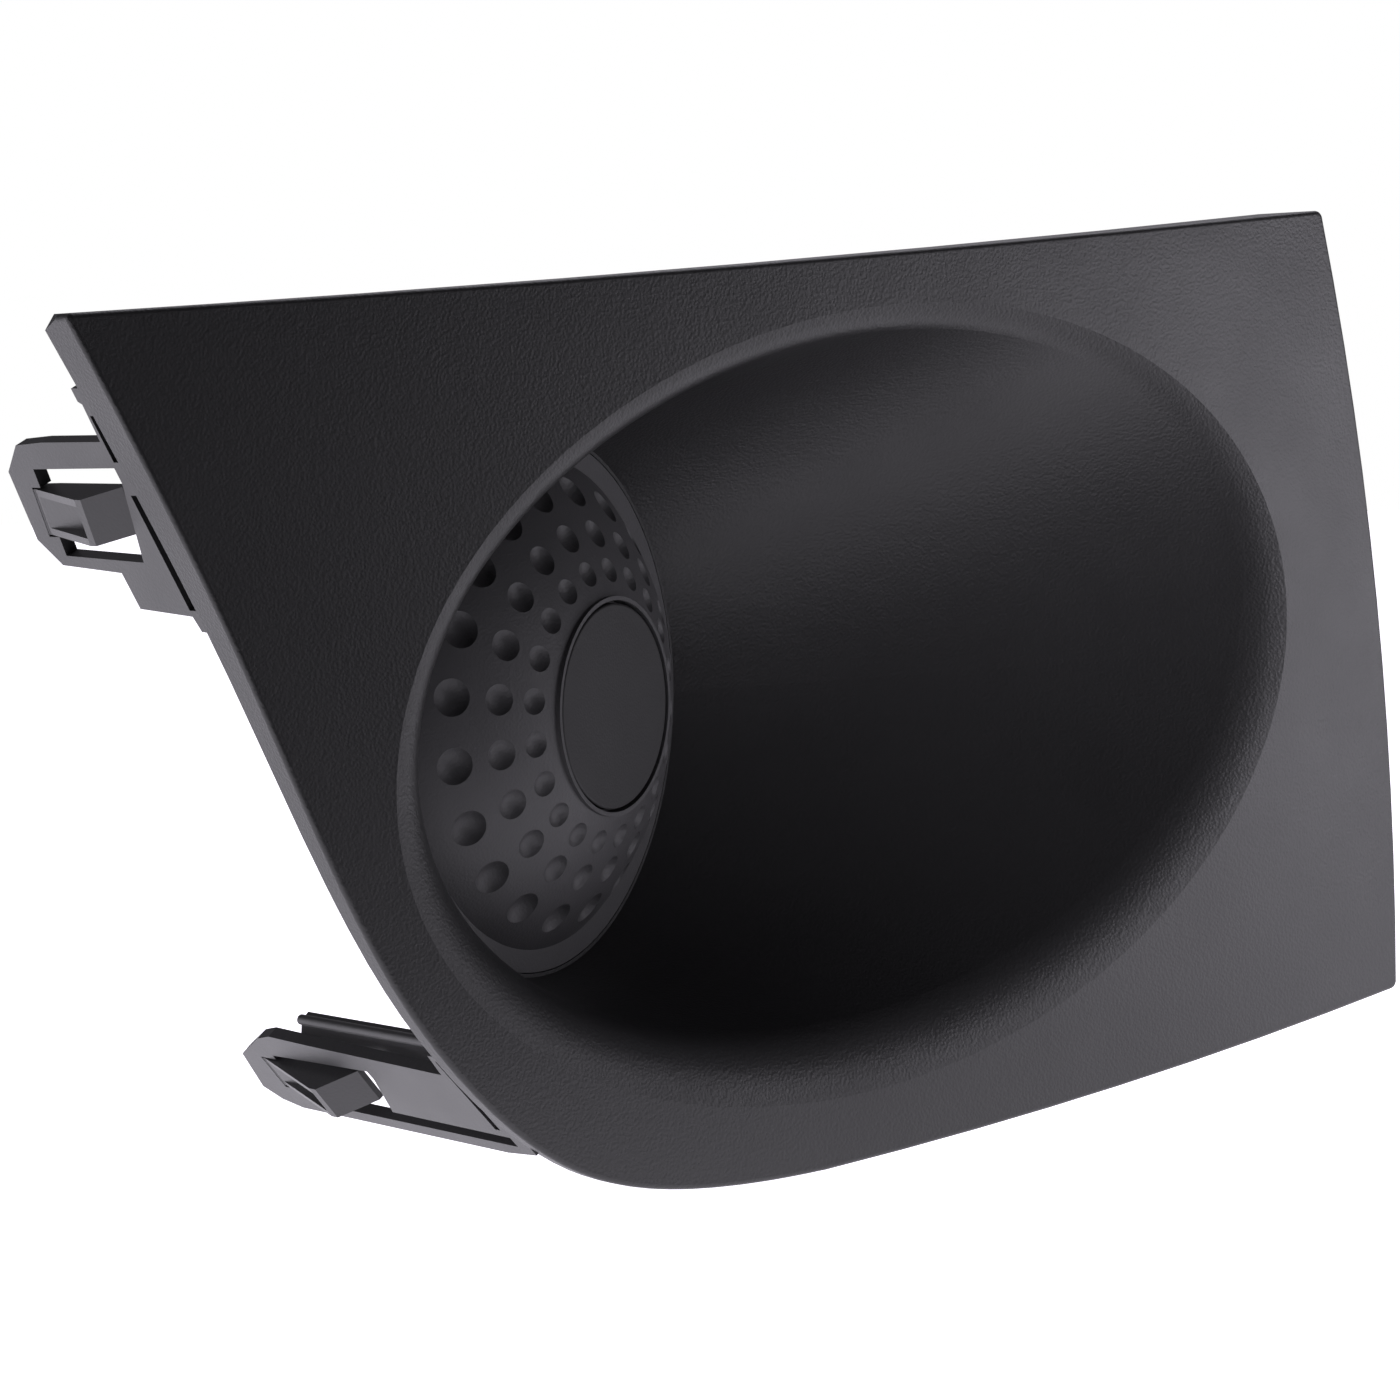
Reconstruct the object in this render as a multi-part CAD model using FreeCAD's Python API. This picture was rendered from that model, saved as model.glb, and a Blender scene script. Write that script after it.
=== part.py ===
"""Fog-lamp bezel for a car's front bumper, with a dimpled blank in its lamp opening and snap-in clips.

Working frame while modelling, in mm: the origin is the centre of the blank's ring, +X runs inboard along
the bumper, +Y runs back into the car and +Z is up. Every finished solid is then moved by -SEAT, so that
the shared origin is the seat of the upper clip.
"""
import FreeCAD, Part
import math
import os

V = FreeCAD.Vector
BACK = V(0, 1, 0)
UP = V(0, 0, 1)

# Panel: a flat face with a return skirt all round.
WALL = 2.5
FACE_Y = -32.0
EDGE_ROUND = 0.8
CORNER_ROUND = 1.5
TIP_ROUND = 0.9               # the upper outboard corner is sharper
TIP_CUT = (3.0, 2.7)          # and its rear end is cut away, along the top and down the side
SKIRT_STOCK = 20.0
SKIRT_REAR = -23.0            # rear edge of the skirt at the upper outboard corner
SKIRT_DROP = 0.058            # skirt gets shallower downwards, mm per mm
SKIRT_GAIN = 0.02             # and deeper inboard, mm per mm
TOP_OUT = (-104.8, 62.5)
TOP_MID = (28.0, 73.2)
TOP_IN = (145.0, 84.7)
SIDE_MID = (161.6, -4.0)
LOW_IN = (164.6, -55.0)
LOW_MID = (99.2, -68.2)
LOW_OUT = (36.0, -77.4)
INSET_STEPS = 9
CORNER_RUN = [(14.8, -78.4), (-12.5, -73.9), (-32.2, -60.3), (-46.1, -44.3)]
OUTER_RUN = [(-56.0, -28.1), (-76.1, 12.2), (-87.4, 33.0)]

# Lamp opening: a circle at the bottom of the scoop, facing forwards and inboard.
LAMP_YAW = math.radians(26.0)
LAMP_T = V(math.cos(LAMP_YAW), math.sin(LAMP_YAW), 0)
LAMP_N = V(math.sin(LAMP_YAW), -math.cos(LAMP_YAW), 0)
RING_R = 45.6
POCKET_R = 45.0
POCKET_DEEP = 2.0
LEDGE_R = 34.5
LEDGE_THICK = 2.5
COLLAR_R = 47.0
COLLAR_RISE = 0.8

# Scoop: an oval mouth in the face, a rolled lip and straight walls down to the lamp opening.
MOUTH_C = (44.5, -0.15)
MOUTH_A = 96.3
MOUTH_B = 67.0
MOUTH_TILT = math.radians(13.8)
LIP_LIFT = 0.35
LIP_MEAN = 8.5
LIP_SIDE = 2.7                # the lip is wider outboard than inboard
LIP_LOW = 3.3                 # and wider at the bottom than at the top
SECTIONS = 32

# Blank: a dome with three rings of dents, on a flat flange.
DOME_R = 58.0
DOME_BASE = 41.0
DOME_WALL = 2.6
FLANGE_FIT = 0.2
FLANGE_R = POCKET_R - FLANGE_FIT
DENT_COUNT = 20
DENT_TURN = -0.25             # the rings of dents are turned by a quarter of their spacing
DENTS = [(22.5, 2.2, 1.0), (28.5, 2.6, 1.2), (35.5, 3.15, 1.5)]
DISC_R = 17.05
DISC_GAP = 0.5
DISC_THICK = 2.5
DISC_PROUD = 0.35
DISC_ROUND = 0.4
RIM_W = 0.7
RIM_PROUD = 0.15
RIM_CLEAR = 1.0
FLOOR_THICK = 2.2
SPIGOT_R = 4.0
SPIGOT_LONG = 3.2
FIT = 0.05

# Screws that hold the blank from behind.
SCREW_R = 1.5
SCREW_AT = 38.0
SCREW_ANGLES = (90, 210, 330)
SCREW_BITE = 2.2
SCREW_TIP_GAP = 0.2
HEAD_R = 2.8
HEAD_HIGH = 2.0
HEAD_ROUND = 0.6
CROSS_LONG = 3.2
CROSS_WIDE = 0.8
CROSS_DEEP = 1.2
BOSS_R = 3.2
BOSS_HIGH = 4.1

# Clips: a slotted plate that stands on the back of the face, and a sprung tongue hinged at its far end.
PLATE = 2.2
KNUCKLE_R = 1.05
KNUCKLE_FIT = 0.06
SIDE_GAP = 0.35
RIB_W = 1.3
BAR_W = 2.0
RIB_END = 1.0
END_THICK = 1.0
NECK_LONG = 6.0
NECK_SHARE = 0.85
ROOT_Y = FACE_Y + WALL
THROUGH = 1.0                 # how far a cut runs past the faces that it opens
TINY_TURN = 0.001


def at(point, y=FACE_Y):
    """A point of the face outline, given as (x, z)."""
    return V(point[0], y, point[1])


def dome_height(r):
    return math.sqrt(DOME_R ** 2 - r ** 2) - math.sqrt(DOME_R ** 2 - DOME_BASE ** 2)


GROOVE_R = DISC_R + DISC_GAP
DISC_TOP = dome_height(GROOVE_R) + DISC_PROUD
DISC_FLOOR = DISC_TOP - DISC_THICK
RIM_TOP = DISC_TOP + RIM_PROUD


def outline_edges():
    top = Part.Arc(at(TOP_OUT), at(TOP_MID), at(TOP_IN)).toShape()
    side = Part.Arc(at(TOP_IN), at(SIDE_MID), at(LOW_IN)).toShape()
    low = Part.Arc(at(LOW_IN), at(LOW_MID), at(LOW_OUT)).toShape()
    run = Part.BSplineCurve()
    run.interpolate([at(p) for p in [LOW_OUT] + CORNER_RUN + OUTER_RUN + [TOP_OUT]])
    return [top, side, low, run.toShape()]


def run_and_inward(edge, share):
    """A point of an outline edge and the direction in the face that points into the panel there."""
    place = edge.FirstParameter + share * (edge.LastParameter - edge.FirstParameter)
    along = edge.tangentAt(place)
    return edge.valueAt(place), V(along.z, 0, -along.x)


def inset_face(inset):
    """The outline moved inwards, each edge drawn again through moved points between mitred corners."""
    edges = outline_edges()
    corners = []
    for i, edge in enumerate(edges):
        point, before = run_and_inward(edges[i - 1], 1.0)
        point, after = run_and_inward(edge, 0.0)
        corners.append(point + (before + after) * (inset / (1 + before.dot(after))))
    moved = []
    for i, edge in enumerate(edges):
        points = [corners[i]]
        for k in range(1, INSET_STEPS):
            point, inward = run_and_inward(edge, k / INSET_STEPS)
            points.append(point + inward * inset)
        points.append(corners[(i + 1) % len(edges)])
        curve = Part.BSplineCurve()
        curve.interpolate(points)
        moved.append(curve.toShape())
    return Part.Face(Part.Wire(moved))


def rounded_slab():
    """The outline pushed back to full skirt depth, with its sharp corners and its front edge rounded."""
    slab = Part.Face(Part.Wire(outline_edges())).extrude(BACK * SKIRT_STOCK)
    for corner, radius in ((TOP_IN, CORNER_ROUND), (LOW_IN, CORNER_ROUND), (TOP_OUT, TIP_ROUND)):
        slab = slab.makeFillet(radius, [corner_edge(slab, corner)])
    front = [e for e in slab.Edges if e.BoundBox.YMax < FACE_Y + 0.01]
    return slab.makeFillet(EDGE_ROUND, front)


def corner_edge(slab, corner):
    """The straight edge that runs back from one corner of the outline."""
    for edge in slab.Edges:
        box = edge.BoundBox
        beside = (edge.CenterOfMass - at(corner, edge.CenterOfMass.y)).Length < THROUGH
        if box.YLength > SKIRT_STOCK / 2 and beside:
            return edge


def tip_cut():
    """A wedge off the upper outboard corner, from nothing behind the rounded edge to TIP_CUT at the rear."""
    top, side = outline_edges()[0], outline_edges()[-1]
    along_top = top.tangentAt(top.FirstParameter)
    down_side = side.tangentAt(side.LastParameter) * -1
    rear = at(TOP_OUT, SKIRT_REAR)
    on_top = rear + along_top * TIP_CUT[0]
    on_side = rear + down_side * TIP_CUT[1]
    apex = at(TOP_OUT, FACE_Y + 1.5 * EDGE_ROUND)
    normal = (on_side - apex).cross(on_top - apex).normalize()
    if normal.z < 0:
        normal = normal * -1
    size = 2 * SKIRT_STOCK
    along = (on_top - on_side).normalize()
    box = Part.makeBox(size, size, size, V(-size / 2, -size / 2, 0))
    box.Placement = FreeCAD.Placement(apex, FreeCAD.Rotation(along, normal.cross(along), normal, "ZXY"))
    return box


def behind_skirt():
    """Everything behind the sloping plane that the skirt's rear edge lies in."""
    size = 600.0
    normal = V(-SKIRT_GAIN, 1, -SKIRT_DROP).normalize()
    base = V(TOP_OUT[0], SKIRT_REAR, TOP_OUT[1])
    along = V(1, SKIRT_GAIN, 0).normalize()
    box = Part.makeBox(size, size, size, V(-size / 2, -size / 2, 0))
    box.Placement = FreeCAD.Placement(base, FreeCAD.Rotation(along, normal.cross(along), normal, "ZXY"))
    return box


def mouth_point(turn, y=FACE_Y):
    """The mouth's oval; the same turn on the lamp circle faces the same way."""
    a = turn - MOUTH_TILT
    x = MOUTH_A * math.cos(a)
    z = MOUTH_B * math.sin(a)
    c = math.cos(MOUTH_TILT)
    s = math.sin(MOUTH_TILT)
    return V(MOUTH_C[0] + x * c - z * s, y, MOUTH_C[1] + x * s + z * c)


def lamp_point(turn, radius, out=0.0):
    """A point at the given radius round the lamp axis, raised by out along the axis."""
    return LAMP_T * (radius * math.cos(turn)) + UP * (radius * math.sin(turn)) + LAMP_N * out


def mouth_inward(turn):
    run = (mouth_point(turn + TINY_TURN) - mouth_point(turn - TINY_TURN)).normalize()
    return V(-run.z, 0, run.x)


def lip_width(turn):
    return LIP_MEAN - LIP_SIDE * math.cos(turn) - LIP_LOW * math.sin(turn)


def scoop_rows(turn):
    """Start of the lip, its corner, its end and the foot of the wall, at one turn round the scoop."""
    width = lip_width(turn)
    start = mouth_point(turn, FACE_Y - LIP_LIFT)
    corner = mouth_point(turn, FACE_Y + LIP_LIFT) + mouth_inward(turn) * width
    foot = lamp_point(turn, RING_R)
    wall = (foot - corner).normalize()
    return start, corner, corner + wall * width, foot


def wall_rows(turn):
    """The outside of the scoop: at the face plate, at the end of the lip and in the lamp's plane."""
    start, _, end, foot = scoop_rows(turn)
    across = scoop_rows(turn + TINY_TURN)[2] - scoop_rows(turn - TINY_TURN)[2]
    wall = (foot - end).normalize()
    chord = (end - start).normalize()
    wall_out = wall.cross(across).normalize()
    chord_out = chord.cross(across).normalize()
    middle = (wall_out + chord_out).normalize()
    knee = end + middle * (WALL / middle.dot(wall_out))
    top = knee + chord * ((FACE_Y + WALL / 2 - knee.y) / chord.y)
    low = knee - wall * (knee.dot(LAMP_N) / wall.dot(LAMP_N))
    return top, knee, low


def closed_curve(points):
    curve = Part.BSplineCurve()
    count = len(points)
    curve.interpolate(Points=points, PeriodicFlag=True, Parameters=[i / count for i in range(count + 1)])
    return curve


def turns():
    return [2 * math.pi * i / SECTIONS for i in range(SECTIONS)]


def skin(curves):
    """A surface whose rows of poles are those of the given closed curves."""
    first = curves[0]
    poles = [[curve.getPoles()[i] for curve in curves] for i in range(first.NbPoles)]
    across = len(curves)
    surface = Part.BSplineSurface()
    surface.buildFromPolesMultsKnots(
        poles, first.getMultiplicities(), [across, across], first.getKnots(), [0.0, 1.0],
        True, False, first.Degree, across - 1)
    return surface.toShape()


def cap(curve):
    return Part.Face(Part.Wire(curve.toShape()))


def solid_of(faces):
    shell = Part.makeShell(faces)
    shell.sewShape()
    body = Part.makeSolid(Part.Shell(shell.Faces))
    if body.Volume < 0:
        body.reverse()
    return body


def scoop_hollow():
    rows = [scoop_rows(t) for t in turns()]
    start, corner, end, foot = [closed_curve([row[i] for row in rows]) for i in range(4)]
    return solid_of([skin([start, corner, end]), skin([end, foot]), cap(start), cap(foot)])


def scoop_outside():
    rows = [wall_rows(t) for t in turns()]
    top, knee, low = [closed_curve([row[i] for row in rows]) for i in range(3)]
    return solid_of([skin([top, knee]), skin([knee, low]), cap(top), cap(low)])


def lamp_cylinder(radius, out_from, out_to):
    return Part.makeCylinder(radius, out_to - out_from, LAMP_N * out_from, LAMP_N)


def on_lamp(shape):
    """Places a shape modelled round +Z on the lamp axis."""
    shape.Placement = FreeCAD.Placement(V(0, 0, 0), FreeCAD.Rotation(LAMP_T, UP, LAMP_N, "XYZ"))
    return shape


def screw_spots():
    for angle in SCREW_ANGLES:
        a = math.radians(angle)
        yield V(SCREW_AT * math.cos(a), SCREW_AT * math.sin(a), 0)


def blank_cap():
    """The dome on its flange, hollow behind, with the seat for the centre disc and three screw bosses."""
    centre = V(0, 0, -math.sqrt(DOME_R ** 2 - DOME_BASE ** 2))
    above = Part.makeCylinder(DOME_BASE + THROUGH, DOME_R, V(0, 0, -0.01))
    ball = Part.makeSphere(DOME_R, centre)
    ball.rotate(V(0, 0, 0), V(0, 0, 1), (DENT_TURN + 0.5) * 360 / DENT_COUNT)
    full = ball.common(above)
    flange = Part.makeCylinder(FLANGE_R, POCKET_DEEP, V(0, 0, -POCKET_DEEP))
    hollow = Part.makeSphere(DOME_R - DOME_WALL, centre)
    floor_r = GROOVE_R + RIM_W + THROUGH
    inside = [Part.makeCylinder(floor_r, FLOOR_THICK, V(0, 0, DISC_FLOOR - FLOOR_THICK))]
    for spot in screw_spots():
        inside.append(Part.makeCylinder(BOSS_R, BOSS_HIGH, spot - V(0, 0, POCKET_DEEP)))
    body = full.fuse(flange)
    kept = [body.common(piece) for piece in inside]
    body = body.cut(hollow).multiFuse(kept)
    body = body.fuse(Part.makeCylinder(GROOVE_R + RIM_W, RIM_TOP - DISC_FLOOR, V(0, 0, DISC_FLOOR)))
    cuts = [
        Part.makeCylinder(GROOVE_R, DOME_R, V(0, 0, DISC_FLOOR)),
        Part.makeCylinder(GROOVE_R + RIM_W + RIM_CLEAR, DOME_R, V(0, 0, RIM_TOP)),
        Part.makeCylinder(SPIGOT_R + FIT, DOME_R, V(0, 0, 0))]
    for spot in screw_spots():
        cuts.append(Part.makeCylinder(SCREW_R + FIT, SCREW_BITE + SCREW_TIP_GAP, spot - V(0, 0, POCKET_DEEP)))
    for ring_r, dent_r, deep in DENTS:
        cuts.extend(dent_balls(centre, ring_r, dent_r, deep))
    return on_lamp(body.cut(cuts))


def dent_balls(centre, ring_r, dent_r, deep):
    """Balls that press one ring of dents into the dome, each with its poles along the ring."""
    ball_r = (dent_r ** 2 + deep ** 2) / (2 * deep)
    reach = DOME_R - deep + ball_r
    lean = math.asin(ring_r / DOME_R)
    for i in range(DENT_COUNT):
        a = 2 * math.pi * (i + DENT_TURN) / DENT_COUNT
        out = V(math.sin(lean) * math.cos(a), math.sin(lean) * math.sin(a), math.cos(lean))
        side = V(-math.sin(a), math.cos(a), 0)
        ball = Part.makeSphere(ball_r)
        ball.Placement = FreeCAD.Placement(
            centre + out * reach, FreeCAD.Rotation(out, side.cross(out), side, "XYZ"))
        yield ball


def centre_disc():
    disc = Part.makeCylinder(DISC_R, DISC_THICK, V(0, 0, DISC_FLOOR))
    disc = disc.makeFillet(DISC_ROUND, [e for e in disc.Edges if e.BoundBox.ZMin > DISC_TOP - 0.01])
    spigot = Part.makeCylinder(SPIGOT_R, SPIGOT_LONG, V(0, 0, DISC_FLOOR - SPIGOT_LONG))
    return on_lamp(disc.fuse(spigot).removeSplitter())


def cap_screw(spot):
    under = -POCKET_DEEP - LEDGE_THICK
    shank = Part.makeCylinder(SCREW_R, LEDGE_THICK + SCREW_BITE, spot + V(0, 0, under))
    head = Part.makeCylinder(HEAD_R, HEAD_HIGH, spot + V(0, 0, under - HEAD_HIGH))
    head = head.makeFillet(HEAD_ROUND, [e for e in head.Edges if e.BoundBox.ZMax < under - HEAD_HIGH + 0.01])
    body = shank.fuse(head)
    for turn in (0, 90):
        bar = Part.makeBox(CROSS_LONG, CROSS_WIDE, CROSS_DEEP, V(-CROSS_LONG / 2, -CROSS_WIDE / 2, 0))
        bar.rotate(V(0, 0, 0), V(0, 0, 1), turn)
        bar.translate(spot + V(0, 0, under - HEAD_HIGH))
        body = body.cut(bar)
    return on_lamp(body)


class Clip:
    """One clip's local frame: x along the panel's edge, y back into the car, z towards the panel's middle."""

    def __init__(self, corner, run, sunk, outline, window, slots, tongue):
        self.along = V(run[0], 0, run[1]).normalize()
        self.inward = self.along.cross(BACK)
        self.origin = V(corner[0], 0, corner[1])
        self.sunk = sunk
        self.outline = outline
        self.window = window
        self.slots = slots
        self.left, self.right, self.hinge_y, self.ridge_y, self.ridge_up, self.end_y, self.rake = tongue

        turn = FreeCAD.Rotation(self.along, BACK, self.inward, "XYZ")
        self.frame = FreeCAD.Placement(self.origin, turn)

    def place(self, shape):
        shape.Placement = self.frame.multiply(shape.Placement)
        return shape

    def prism(self, points, z_from, z_to):
        ring = [V(x, y, z_from) for x, y in points]
        return Part.Face(Part.makePolygon(ring + ring[:1])).extrude(V(0, 0, z_to - z_from))

    def through(self, points):
        """A prism that cuts right through the plate."""
        return self.prism(points, self.sunk - THROUGH, self.sunk + PLATE + THROUGH)

    def across(self, profile, x_from, x_to):
        """A profile in (y, z) swept along the raked hinge line."""
        ring = [V(x_from, y + self.rake * x_from, z) for y, z in profile]
        sweep = V(x_to - x_from, self.rake * (x_to - x_from), 0)
        return Part.Face(Part.makePolygon(ring + ring[:1])).extrude(sweep)

    def knuckle(self, radius, gap):
        """A round bar along the hinge line, trimmed square to the clip's sides."""
        line = V(1, self.rake, 0).normalize()
        wide = self.right - self.left
        start = V(self.left, self.hinge(self.left), self.middle()) - line * wide / 2
        bar = Part.makeCylinder(radius, wide * 2 / line.x, start, line)
        trim = Part.makeBox(wide + 2 * gap, 4 * wide, 4 * wide,
                            V(self.left - gap, self.hinge_y - 2 * wide, self.middle() - 2 * wide))
        return bar.common(trim)

    def middle(self):
        return self.sunk + PLATE / 2

    def hinge(self, x):
        return self.hinge_y + self.rake * (x - (self.left + self.right) / 2)

    def profile_y(self, y):
        """Moves a y on the tongue's centre line to the start of the raked sweep."""
        return y - self.rake * (self.left + self.right) / 2

    def carrier(self):
        body = self.prism(self.outline, self.sunk, self.sunk + PLATE)
        cuts = [self.through(self.window)]
        for x_from, x_to, y_from, y_to in self.slots:
            cuts.append(self.through([(x_from, y_from), (x_to, y_from), (x_to, y_to), (x_from, y_to)]))
        left = self.left - SIDE_GAP
        right = self.right + SIDE_GAP
        front = min(y for x, y in self.window if y > self.ridge_y) - THROUGH
        cuts.append(self.through([(left, front), (right, front), (right, self.hinge(right)),
                                  (left, self.hinge(left))]))
        cuts.append(self.knuckle(KNUCKLE_R + KNUCKLE_FIT, SIDE_GAP))
        return self.place(body.cut(cuts))

    def tongue(self):
        """A wedge that rises to a ridge and falls away to the free end, on a round root."""
        top = self.sunk
        under = self.sunk + PLATE
        root = self.profile_y(self.hinge_y)
        ridge = self.profile_y(self.ridge_y)
        end = self.profile_y(self.end_y)
        neck = KNUCKLE_R * NECK_SHARE
        high = top - self.ridge_up
        profile = [
            (root, self.middle() - neck), (ridge + BAR_W, high), (ridge, high), (end, under - END_THICK),
            (end, under), (root - NECK_LONG, under), (root, self.middle() + neck)]
        body = self.across(profile, self.left, self.right)
        body = body.fuse(self.knuckle(KNUCKLE_R, 0))
        above = high - THROUGH
        pocket = [
            (ridge + BAR_W, top), (ridge + BAR_W, above), (root - RIB_END, above), (root - RIB_END, top)]
        body = body.cut(self.across(pocket, self.left + RIB_W, self.right - RIB_W))
        return self.place(body)

    def point(self, x, y, z):
        return self.frame.multVec(V(x, y, z))


UPPER_OUTLINE = [
    (13.1, ROOT_Y), (13.1, -19.6), (15.4, -19.6), (15.9, -20.6), (22.4, -20.2), (22.5, -0.7), (23.0, 8.4),
    (27.8, 15.6), (40.3, 17.8), (44.9, 13.5), (45.9, -5.1), (52.4, -5.2), (53.3, -21.1), (56.0, -21.6),
    (56.4, ROOT_Y)]
UPPER_WINDOW = [(27.3, 6.6), (27.0, -20.4), (29.6, -20.4), (43.8, -14.2), (43.1, 10.6)]
UPPER_SLOTS = [(17.9, 26.0, -23.2, -21.2), (31.8, 52.2, -23.2, -21.2)]
UPPER_TONGUE = (31.0, 39.3, 11.5, -9.0, 2.9, -16.0, 0.3)
UPPER = Clip((-104.84, 62.39), (0.4955, -0.8686), 1.2, UPPER_OUTLINE, UPPER_WINDOW, UPPER_SLOTS, UPPER_TONGUE)

LOWER_OUTLINE = [
    (3.4, ROOT_Y), (3.4, -21.9), (8.2, -20.8), (7.4, 20.5), (7.0, 33.0), (8.2, 38.0), (13.9, 50.3),
    (23.0, 54.2), (25.8, 50.7), (27.2, 45.4), (27.2, -20.0), (26.2, ROOT_Y)]
LOWER_WINDOW = [
    (12.6, 38.3), (11.6, 6.2), (13.5, 6.2), (22.4, 10.3), (22.6, -25.5), (24.8, -25.5), (24.8, 39.5)]
LOWER_SLOTS = [(4.6, 21.0, -24.4, -22.9)]
LOWER_TONGUE = (14.0, 21.3, 44.0, 21.5, 4.0, 14.0, 0.15)
LOWER = Clip((-38.7, -52.2), (0.694, -0.720), 0.8, LOWER_OUTLINE, LOWER_WINDOW, LOWER_SLOTS, LOWER_TONGUE)

INBOARD = Clip((163.4, -14.5), (-0.1575, 0.9875), 1.2, UPPER_OUTLINE, UPPER_WINDOW, UPPER_SLOTS, UPPER_TONGUE)

# Rail beside the lower clip, in that clip's frame: a wall with a rolled lip along its upper edge.
RAIL_GAP = 1.6
RAIL_THICK = 1.8
RAIL_OUTLINE = [(5.0, ROOT_Y), (5.7, 25.0), (11.0, 31.5), (12.6, 31.5), (12.6, ROOT_Y)]
RAIL_LIP_R = 0.9

# Locating pin on the inboard back of the face.
PIN_AT = (150.0, -44.0)
PIN_R = 3.0
PIN_LONG = 10.0
PIN_CONE = 1.5
PIN_BOSS_R = 5.5
PIN_BOSS_HIGH = 8.0

SEAT = UPPER.point(35.0, SKIRT_REAR, UPPER.middle())


def lower_rail():
    low = LOWER.sunk + PLATE + RAIL_GAP
    wall = LOWER.prism(RAIL_OUTLINE, low, low + RAIL_THICK)
    start, end = [V(x, y, low) for x, y in RAIL_OUTLINE[:2]]
    lip = Part.makeCylinder(RAIL_LIP_R, (end - start).Length, start, end - start)
    return LOWER.place(wall.fuse(lip))


def locating_pin():
    base = at(PIN_AT, ROOT_Y)
    boss = Part.makeCylinder(PIN_BOSS_R, PIN_BOSS_HIGH, base, BACK)
    shoulder = base + BACK * PIN_BOSS_HIGH
    pin = Part.makeCylinder(PIN_R, PIN_LONG - PIN_CONE, shoulder, BACK)
    tip = Part.makeCone(PIN_R, PIN_R / 2, PIN_CONE, shoulder + BACK * (PIN_LONG - PIN_CONE), BACK)
    return [boss, pin, tip]


def bezel_panel(sunk_pieces):
    """Face, skirt, scoop and lamp ledge in one moulding, with seats for the clip plates."""
    slab = rounded_slab()
    inside = inset_face(WALL).extrude(BACK * SKIRT_STOCK)
    inside.translate(BACK * WALL)
    body = slab.cut([inside, behind_skirt(), tip_cut()])
    collar = lamp_cylinder(COLLAR_R, -POCKET_DEEP - LEDGE_THICK, COLLAR_RISE)
    body = body.fuse(scoop_outside()).fuse(collar).multiFuse(locating_pin())
    body = body.cut(scoop_hollow())
    cuts = [
        lamp_cylinder(POCKET_R, -POCKET_DEEP, THROUGH / 4),
        lamp_cylinder(LEDGE_R, -POCKET_DEEP - LEDGE_THICK - THROUGH, 0)]
    for spot in screw_spots():
        start = spot - V(0, 0, POCKET_DEEP + 2 * LEDGE_THICK)
        hole = Part.makeCylinder(SCREW_R + 2 * FIT, 2 * LEDGE_THICK, start)
        cuts.append(on_lamp(hole))
    return body.cut(cuts).cut(sunk_pieces)


def main():
    carriers = {
        "upper_clip_plate": UPPER.carrier(),
        "lower_clip_plate": LOWER.carrier(),
        "inboard_clip_plate": INBOARD.carrier(),
    }
    panel = bezel_panel(list(carriers.values()))
    pieces = {"bezel_panel": panel}
    pieces.update(carriers)
    pieces["lower_clip_rail"] = lower_rail().cut(panel)
    pieces["upper_clip_tongue"] = UPPER.tongue()
    pieces["lower_clip_tongue"] = LOWER.tongue()
    pieces["inboard_clip_tongue"] = INBOARD.tongue()
    pieces["blank_cap"] = blank_cap()
    pieces["centre_disc"] = centre_disc()
    for number, spot in enumerate(screw_spots(), 1):
        pieces["cap_screw_%d" % number] = cap_screw(spot)
    os.makedirs("parts", exist_ok=True)
    for name, shape in pieces.items():
        shape.translate(SEAT * -1)
        shape.exportStep("parts/%s.step" % name)
        print(name, shape.isValid(), len(shape.Solids), round(shape.Volume, 1), shape.BoundBox)


main()
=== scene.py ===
import math

import bpy
from mathutils import Matrix, Vector


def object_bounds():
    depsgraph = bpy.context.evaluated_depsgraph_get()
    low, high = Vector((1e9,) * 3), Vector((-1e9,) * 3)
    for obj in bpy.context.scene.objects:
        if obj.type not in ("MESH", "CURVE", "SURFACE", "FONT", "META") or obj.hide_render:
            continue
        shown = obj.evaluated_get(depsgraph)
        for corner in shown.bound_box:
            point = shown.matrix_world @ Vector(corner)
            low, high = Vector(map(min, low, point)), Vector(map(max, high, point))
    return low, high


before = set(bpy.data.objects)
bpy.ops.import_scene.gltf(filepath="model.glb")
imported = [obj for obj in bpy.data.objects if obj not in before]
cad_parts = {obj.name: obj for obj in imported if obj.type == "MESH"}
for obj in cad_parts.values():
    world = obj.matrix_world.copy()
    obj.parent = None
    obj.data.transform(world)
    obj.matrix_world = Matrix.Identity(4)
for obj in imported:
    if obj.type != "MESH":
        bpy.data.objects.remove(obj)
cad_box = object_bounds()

MM = 0.001

# The part's seat (the frame's origin) as seen from the middle of the lamp ring, in metres.
SEAT = Vector((-85.4996, -23.0, 33.1284)) * MM

# Camera: the view of the part from the front, outboard side and slightly above.
VIEW_TURN = math.radians(35.0)
VIEW_DROP = math.radians(3.0)
VIEW_FROM = Vector((-441.5, -677.1, 43.0)) * MM - SEAT
LENS = 124.87
SENSOR = 36.0
VIEW_FAR = 50.0

# Floor: a square of glowing white paper.
FLOOR_HALF = 6.0
FLOOR_SHADE = 0.9
FLOOR_GLOW = 1.35

# Flag: a black card just above the floor, ahead of the part, whose right edge turns away outwards.
FLAG_LIFT = 0.002
FLAG_NEAR = -0.1
FLAG_FAR = -1.8
FLAG_LEFT = -2.0
FLAG_EDGE = 0.2
FLAG_TURN = math.radians(48.0)
FLAG_SHADE = 0.01

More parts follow.
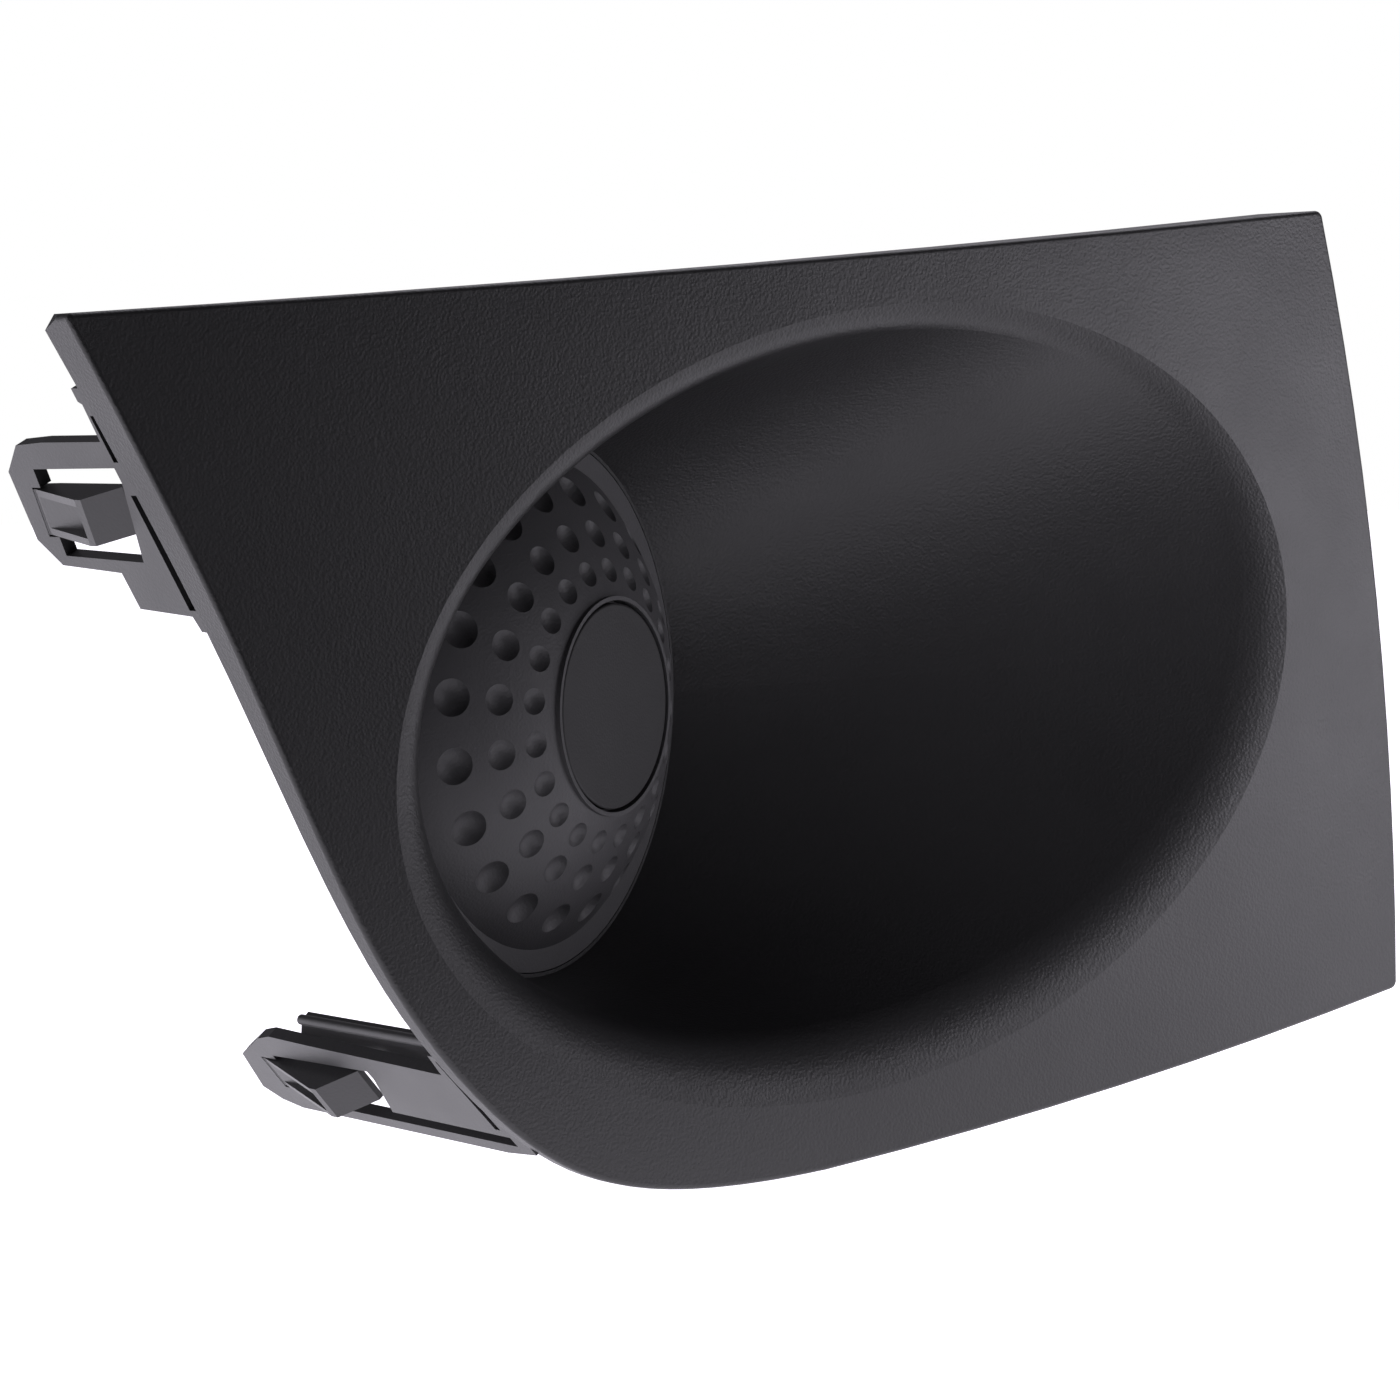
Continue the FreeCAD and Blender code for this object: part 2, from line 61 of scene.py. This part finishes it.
# Light: a faintly lilac white, from a dim room and from soft boxes of which a grid narrows one.
LILAC = (1.0, 0.97, 1.06)
WHITE = (1.0, 1.0, 1.0)
ROOM_GLOW = 0.10
NO_GRID = 180.0
SOFT_BOXES = {
    "right_box": {
        "where": (0.46, -0.27, 0.0), "towards": (0.40, 0.0, -0.04),
        "size": (0.24, 0.18), "glow": 2.4, "grid": 100.0},
    "top_box": {
        "where": (0.65, 0.45, 0.80), "towards": (0.1, 0.02, 0.0),
        "size": (0.9, 0.9), "glow": 1.4, "grid": NO_GRID},
    "back_box": {
        "where": (-1.5, 1.2, 0.3), "towards": (0.1, 0.0, -0.05),
        "size": (1.6, 1.0), "glow": 1.5, "grid": NO_GRID},
}

# Plastic: texture scales are per metre, and the tones are multiples of the base shade.
TONE_SCALE = 38.0
GLOSS_SCALE = 55.0
SPECK_SCALE = 900.0
SPECK_BAND = (0.66, 0.8)
PALE = 1.22
WORN = 2.6
GLOSS_DOWN = 0.02
GLOSS_UP = 0.03
PLASTIC_IOR = 1.49
FINE_OVER_GRAIN = 2.3
FINE_DEEP = 0.5
MIDDLE = (0.3, 0.7)              # the band of a noise texture that most of it lies in
BLACK = (1.0, 0.98, 1.03)

# Zinc plating on the screws.
ZINC_DARK = (0.42, 0.42, 0.41)
ZINC_PALE = (0.56, 0.57, 0.58)
ZINC_TONE_SCALE = 400.0
ZINC_GLOSS_SCALE = 900.0
ZINC_GLOSS = (0.28, 0.45)
ZINC_GRAIN = 2500.0
ZINC_GRAIN_DEEP = 0.00002


# ---------------------------------------------------------------- materials

class Nodes:
    """Short helper for building one procedural material."""

    def __init__(self, name):
        self.material = bpy.data.materials.new(name)
        self.material.use_nodes = True
        self.tree = self.material.node_tree
        self.tree.nodes.clear()
        self.out = self.add("ShaderNodeOutputMaterial")
        self.shader = self.add("ShaderNodeBsdfPrincipled")
        self.link(self.shader.outputs["BSDF"], self.out.inputs["Surface"])
        self.place = self.add("ShaderNodeTexCoord").outputs["Object"]

    def add(self, kind, **settings):
        node = self.tree.nodes.new(kind)
        for key, value in settings.items():
            setattr(node, key, value)
        return node

    def link(self, source, target):
        self.tree.links.new(source, target)

    def noise(self, scale, detail=3.0, rough=0.55):
        node = self.add("ShaderNodeTexNoise")
        node.inputs["Scale"].default_value = scale
        node.inputs["Detail"].default_value = detail
        node.inputs["Roughness"].default_value = rough
        self.link(self.place, node.inputs["Vector"])
        return node.outputs["Fac"]

    def cells(self, scale):
        node = self.add("ShaderNodeTexVoronoi", feature="SMOOTH_F1")
        node.inputs["Scale"].default_value = scale
        node.inputs["Smoothness"].default_value = 0.6
        self.link(self.place, node.inputs["Vector"])
        return node.outputs["Distance"]

    def stretch(self, source, band, low, high):
        """The band of a source's values stretched to run from low to high."""
        node = self.add("ShaderNodeMapRange")
        node.inputs["From Min"].default_value = band[0]
        node.inputs["From Max"].default_value = band[1]
        node.inputs["To Min"].default_value = low
        node.inputs["To Max"].default_value = high
        self.link(source, node.inputs["Value"])
        return node.outputs["Result"]

    def blend(self, share, first, second):
        """A mix of two colours, each given as numbers or as a socket."""
        node = self.add("ShaderNodeMix", data_type="RGBA")
        for socket, value in ((node.inputs[6], first), (node.inputs[7], second)):
            if isinstance(value, tuple):
                socket.default_value = (*value, 1.0)
            else:
                self.link(value, socket)
        self.link(share, node.inputs[0])
        return node.outputs[2]

    def bump(self, height, distance, over=None):
        node = self.add("ShaderNodeBump")
        node.inputs["Distance"].default_value = distance
        node.inputs["Strength"].default_value = 1.0
        self.link(height, node.inputs["Height"])
        if over is not None:
            self.link(over, node.inputs["Normal"])
        return node.outputs["Normal"]


def plastic(name, shade, rough, grain, grain_deep, scuff):
    """Moulded black plastic: fine eroded grain, slow shifts of tone and gloss, and light scuffs."""
    m = Nodes(name)
    dark, pale, worn = [tuple(shade * level * t for t in BLACK) for level in (1.0, PALE, WORN)]
    tone = m.blend(m.stretch(m.noise(TONE_SCALE, 4.0), MIDDLE, 0.0, 1.0), dark, pale)
    specks = m.stretch(m.noise(SPECK_SCALE, 2.0), SPECK_BAND, 0.0, scuff)
    gloss = m.stretch(m.noise(GLOSS_SCALE, 5.0), MIDDLE, rough - GLOSS_DOWN, rough + GLOSS_UP)
    fine = m.bump(m.noise(grain * FINE_OVER_GRAIN, 2.0, 0.7), grain_deep * FINE_DEEP)
    m.link(m.blend(specks, tone, worn), m.shader.inputs["Base Color"])
    m.link(gloss, m.shader.inputs["Roughness"])
    m.link(m.bump(m.cells(grain), grain_deep, fine), m.shader.inputs["Normal"])
    m.shader.inputs["IOR"].default_value = PLASTIC_IOR
    return m.material


def zinc():
    """Bright zinc plating, a little mottled."""
    m = Nodes("zinc_plate")
    tone = m.blend(m.stretch(m.noise(ZINC_TONE_SCALE, 4.0), MIDDLE, 0.0, 1.0), ZINC_DARK, ZINC_PALE)
    m.link(tone, m.shader.inputs["Base Color"])
    m.link(m.stretch(m.noise(ZINC_GLOSS_SCALE), MIDDLE, *ZINC_GLOSS), m.shader.inputs["Roughness"])
    m.link(m.bump(m.noise(ZINC_GRAIN), ZINC_GRAIN_DEEP), m.shader.inputs["Normal"])
    m.shader.inputs["Metallic"].default_value = 1.0
    return m.material


LOOKS = {
    "bezel_panel": plastic("grained_black", 0.013, 0.43, 1900.0, 0.00005, 0.10),
    "blank_cap": plastic("blank_black", 0.040, 0.54, 2100.0, 0.00004, 0.08),
    "centre_disc": plastic("disc_black", 0.012, 0.62, 2300.0, 0.00003, 0.05),
}
CLIP = plastic("clip_black", 0.018, 0.42, 1900.0, 0.00002, 0.12)
ZINC = zinc()


def dress(name, node):
    """Gives a node its material: its own look, zinc for a screw and clip plastic for the rest."""
    material = LOOKS.get(name, ZINC if "screw" in name else CLIP)
    node.data.materials.clear()
    node.data.materials.append(material)


for name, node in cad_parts.items():
    dress(name, node)


# ---------------------------------------------------------------- floor, light, camera

def sheet(name, corners, material):
    """A flat four-cornered piece of the studio."""
    mesh = bpy.data.meshes.new(name)
    mesh.from_pydata(corners, [], [(0, 1, 2, 3)])
    mesh.materials.append(material)
    holder = bpy.data.objects.new(name, mesh)
    bpy.context.collection.objects.link(holder)
    return holder


def floor():
    """A wide white sweep of paper under the part, bright enough to light it from below."""
    low = cad_box[0].z
    m = Nodes("pale_floor")
    m.shader.inputs["Base Color"].default_value = (FLOOR_SHADE, FLOOR_SHADE, FLOOR_SHADE, 1.0)
    m.shader.inputs["Roughness"].default_value = 0.9
    m.shader.inputs["Emission Color"].default_value = (*LILAC, 1.0)
    m.shader.inputs["Emission Strength"].default_value = FLOOR_GLOW
    corners = [(-FLOOR_HALF, -FLOOR_HALF, low), (FLOOR_HALF, -FLOOR_HALF, low),
               (FLOOR_HALF, FLOOR_HALF, low), (-FLOOR_HALF, FLOOR_HALF, low)]
    plane = sheet("floor", corners, m.material)


def flag():
    """A black card on the floor ahead of the part, out of the camera's sight.

    It keeps the light of the floor off the left side of the face."""
    low = cad_box[0].z + FLAG_LIFT
    m = Nodes("black_card")
    m.shader.inputs["Base Color"].default_value = (FLAG_SHADE, FLAG_SHADE, FLAG_SHADE, 1.0)
    m.shader.inputs["Roughness"].default_value = 1.0
    m.shader.inputs["Specular IOR Level"].default_value = 0.0
    far_edge = FLAG_EDGE + (FLAG_NEAR - FLAG_FAR) * math.tan(FLAG_TURN)
    corners = [(FLAG_LEFT, FLAG_NEAR, low), (FLAG_EDGE, FLAG_NEAR, low),
               (far_edge, FLAG_FAR, low), (FLAG_LEFT, FLAG_FAR, low)]
    card = sheet("flag", corners, m.material)
    card.visible_camera = False


def soft_box(name, where, towards, size, glow, grid):
    """A soft box: glow is its brightness, and a grid under 180 degrees narrows its beam."""
    lamp = bpy.data.lights.new(name, "AREA")
    lamp.shape = "RECTANGLE"
    lamp.size, lamp.size_y = size
    lamp.energy = glow * math.pi * size[0] * size[1]
    lamp.spread = math.radians(grid)
    lamp.color = LILAC
    holder = bpy.data.objects.new(name, lamp)
    holder.visible_camera = False
    bpy.context.collection.objects.link(holder)
    holder.location = Vector(where)
    holder.rotation_euler = (Vector(towards) - Vector(where)).to_track_quat("-Z", "Y").to_euler()


def room():
    """White paper as the camera sees it, and a dim even room as a light."""
    world = bpy.data.worlds.new("room")
    bpy.context.scene.world = world
    world.use_nodes = True
    tree = world.node_tree
    tree.nodes.clear()
    out = tree.nodes.new("ShaderNodeOutputWorld")
    choose = tree.nodes.new("ShaderNodeMixShader")
    path = tree.nodes.new("ShaderNodeLightPath")
    seen = tree.nodes.new("ShaderNodeBackground")
    dim = tree.nodes.new("ShaderNodeBackground")
    seen.inputs["Color"].default_value = (*WHITE, 1.0)
    dim.inputs["Color"].default_value = (*LILAC, 1.0)
    dim.inputs["Strength"].default_value = ROOM_GLOW
    tree.links.new(path.outputs["Is Camera Ray"], choose.inputs[0])
    tree.links.new(dim.outputs[0], choose.inputs[1])
    tree.links.new(seen.outputs[0], choose.inputs[2])
    tree.links.new(choose.outputs[0], out.inputs["Surface"])


def lights():
    room()
    for name, box in SOFT_BOXES.items():
        soft_box(name, **box)


def camera():
    data = bpy.data.cameras.new("camera")
    data.lens = LENS
    data.sensor_width = SENSOR
    data.clip_end = VIEW_FAR
    holder = bpy.data.objects.new("camera", data)
    bpy.context.collection.objects.link(holder)
    ahead = Vector((
        math.sin(VIEW_TURN) * math.cos(VIEW_DROP),
        math.cos(VIEW_TURN) * math.cos(VIEW_DROP),
        -math.sin(VIEW_DROP)))
    right = Vector((math.cos(VIEW_TURN), -math.sin(VIEW_TURN), 0.0))
    up = right.cross(ahead)
    turn = Matrix((right, up, -ahead)).transposed()
    holder.matrix_world = Matrix.Translation(VIEW_FROM) @ turn.to_4x4()
    bpy.context.scene.camera = holder


floor()
flag()
lights()
camera()
bpy.context.scene.view_settings.view_transform = "Standard"
